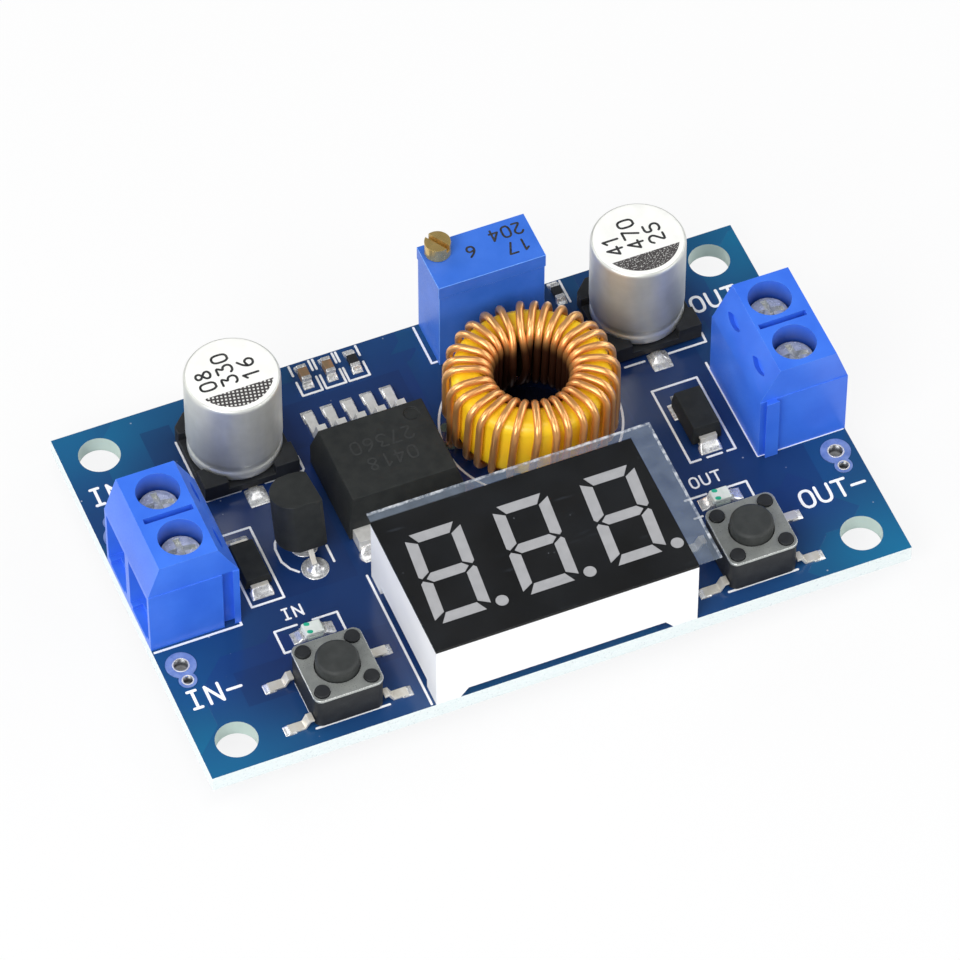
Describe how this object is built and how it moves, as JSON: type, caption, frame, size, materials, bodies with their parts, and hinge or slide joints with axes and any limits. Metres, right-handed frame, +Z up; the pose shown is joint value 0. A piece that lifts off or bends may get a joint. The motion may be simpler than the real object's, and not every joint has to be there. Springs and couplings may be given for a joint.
{
  "type": "buck converter module",
  "caption": "Adjustable step-down converter board with screw terminals, a ring-core inductor, two can capacitors, a multi-turn trimmer, push buttons and a digit meter.",
  "frame": {"origin": "centre of the board's outline, on the plane that the pin tails stand on", "axes": "+X from the input terminal to the output terminal, +Y from the display to the trimmer, +Z up from the board"},
  "size_m": [0.061, 0.037, 0.0145],
  "materials": {
    "solder_mask": "glossy blue solder mask on glass-fibre board",
    "terminal_blue": "moulded blue plastic with a soft gloss",
    "plated_steel": "tin-plated bent steel",
    "screw_zinc": "bright zinc plating",
    "display_white": "moulded white plastic",
    "display_black": "dark printed front",
    "segment_grey": "clear casting resin over a pale reflector",
    "tinned_leads": "bright tin plating",
    "clear_film": "thin hazy protective film",
    "core_yellow": "powdered-iron core with a yellow coating",
    "copper_wire": "enamelled copper wire",
    "can_aluminium": "satin drawn aluminium",
    "black_plastic": "black moulded plastic",
    "trimmer_blue": "blue moulded plastic",
    "adjuster_brass": "turned brass",
    "switch_steel": "stamped tin-plated steel",
    "chip_black": "dark moulding compound",
    "led_base": "pale chip carrier",
    "led_lens": "clear resin lens",
    "ceramic_brown": "sintered ceramic",
    "solder": "bright solder"
  },
  "bodies": {
    "board_assembly": {"circuit_board": "solder_mask", "input_terminal_housing": "terminal_blue", "input_terminal_contacts": "plated_steel", "output_terminal_housing": "terminal_blue", "output_terminal_contacts": "plated_steel", "display_housing": "display_white", "display_face": "display_black", "display_segments": "segment_grey", "display_pins": "tinned_leads", "display_film": "clear_film", "inductor_core": "core_yellow", "inductor_winding": "copper_wire", "input_capacitor_can": "can_aluminium", "input_capacitor_base": "black_plastic", "input_capacitor_leads": "tinned_leads", "output_capacitor_can": "can_aluminium", "output_capacitor_base": "black_plastic", "output_capacitor_leads": "tinned_leads", "trimmer_housing": "trimmer_blue", "trimmer_pins": "tinned_leads", "input_switch_base": "black_plastic", "input_switch_cover": "switch_steel", "input_switch_dome": "switch_steel", "input_switch_legs": "tinned_leads", "output_switch_base": "black_plastic", "output_switch_cover": "switch_steel", "output_switch_dome": "switch_steel", "output_switch_legs": "tinned_leads", "regulator_body": "chip_black", "regulator_leads": "tinned_leads", "converter_chip_body": "chip_black", "converter_chip_leads": "tinned_leads", "converter_chip_tab": "tinned_leads", "input_diode_body": "chip_black", "input_diode_leads": "tinned_leads", "output_diode_body": "chip_black", "output_diode_leads": "tinned_leads", "led_bases": "led_base", "led_lenses": "led_lens", "ceramic_capacitors": "ceramic_brown", "chip_resistors": "chip_black", "chip_part_ends": "tinned_leads", "driver_chip_body": "chip_black", "driver_chip_leads": "tinned_leads", "underside_chip_parts": "chip_black", "top_solder": "solder", "underside_solder": "solder", "wire_pads": "solder"},
    "input_plus_clamp_leaf": {"input_plus_wire_guard": "plated_steel"},
    "input_plus_clamp_screw": {"input_plus_screw": "screw_zinc"},
    "input_minus_clamp_leaf": {"input_minus_wire_guard": "plated_steel"},
    "input_minus_clamp_screw": {"input_minus_screw": "screw_zinc"},
    "output_plus_clamp_leaf": {"output_plus_wire_guard": "plated_steel"},
    "output_plus_clamp_screw": {"output_plus_screw": "screw_zinc"},
    "output_minus_clamp_leaf": {"output_minus_wire_guard": "plated_steel"},
    "output_minus_clamp_screw": {"output_minus_screw": "screw_zinc"},
    "trimmer_adjuster": {"trimmer_screw": "adjuster_brass"},
    "input_plunger": {"input_switch_button": "black_plastic"},
    "output_plunger": {"output_switch_button": "black_plastic"}
  },
  "joints": [
    {"name": "input_plus_clamp_travel", "type": "slide", "parent": "board_assembly", "child": "input_plus_clamp_leaf", "axis": [0, 0, -1], "range_m": [-0.0015, 0.001]},
    {"name": "input_plus_screw_turn", "type": "hinge", "parent": "input_plus_clamp_leaf", "child": "input_plus_clamp_screw", "pos_m": [-0.0267, 0.0027, 0.0108], "axis": [0, 0, -1], "range_deg": [-1080, 720]},
    {"name": "input_minus_clamp_travel", "type": "slide", "parent": "board_assembly", "child": "input_minus_clamp_leaf", "axis": [0, 0, -1], "range_m": [-0.0015, 0.001]},
    {"name": "input_minus_screw_turn", "type": "hinge", "parent": "input_minus_clamp_leaf", "child": "input_minus_clamp_screw", "pos_m": [-0.0267, -0.0023, 0.0108], "axis": [0, 0, -1], "range_deg": [-1080, 720]},
    {"name": "output_plus_clamp_travel", "type": "slide", "parent": "board_assembly", "child": "output_plus_clamp_leaf", "axis": [0, 0, -1], "range_m": [-0.0015, 0.001]},
    {"name": "output_plus_screw_turn", "type": "hinge", "parent": "output_plus_clamp_leaf", "child": "output_plus_clamp_screw", "pos_m": [0.0267, 0.0024, 0.0108], "axis": [0, 0, -1], "range_deg": [-1080, 720]},
    {"name": "output_minus_clamp_travel", "type": "slide", "parent": "board_assembly", "child": "output_minus_clamp_leaf", "axis": [0, 0, -1], "range_m": [-0.0015, 0.001]},
    {"name": "output_minus_screw_turn", "type": "hinge", "parent": "output_minus_clamp_leaf", "child": "output_minus_clamp_screw", "pos_m": [0.0267, -0.0026, 0.0108], "axis": [0, 0, -1], "range_deg": [-1080, 720]},
    {"name": "trimmer_turn", "type": "hinge", "parent": "board_assembly", "child": "trimmer_adjuster", "pos_m": [0.00346, 0.01735, 0.0131], "axis": [0, 0, 1], "continuous": true},
    {"name": "input_button_press", "type": "slide", "parent": "board_assembly", "child": "input_plunger", "axis": [0, 0, -1], "range_m": [0, 0.00025], "stiffness_N_per_m": 5000, "springref_m": -0.00005, "deforming": ["input_switch_dome"]},
    {"name": "output_button_press", "type": "slide", "parent": "board_assembly", "child": "output_plunger", "axis": [0, 0, -1], "range_m": [0, 0.00025], "stiffness_N_per_m": 5000, "springref_m": -0.00005, "deforming": ["output_switch_dome"]}
  ],
  "couplings": [
    {"joint": "input_plus_screw_turn", "follows": "input_plus_clamp_travel", "rad_per_m": 12566},
    {"joint": "input_minus_screw_turn", "follows": "input_minus_clamp_travel", "rad_per_m": 12566},
    {"joint": "output_plus_screw_turn", "follows": "output_plus_clamp_travel", "rad_per_m": 12566},
    {"joint": "output_minus_screw_turn", "follows": "output_minus_clamp_travel", "rad_per_m": 12566}
  ]
}
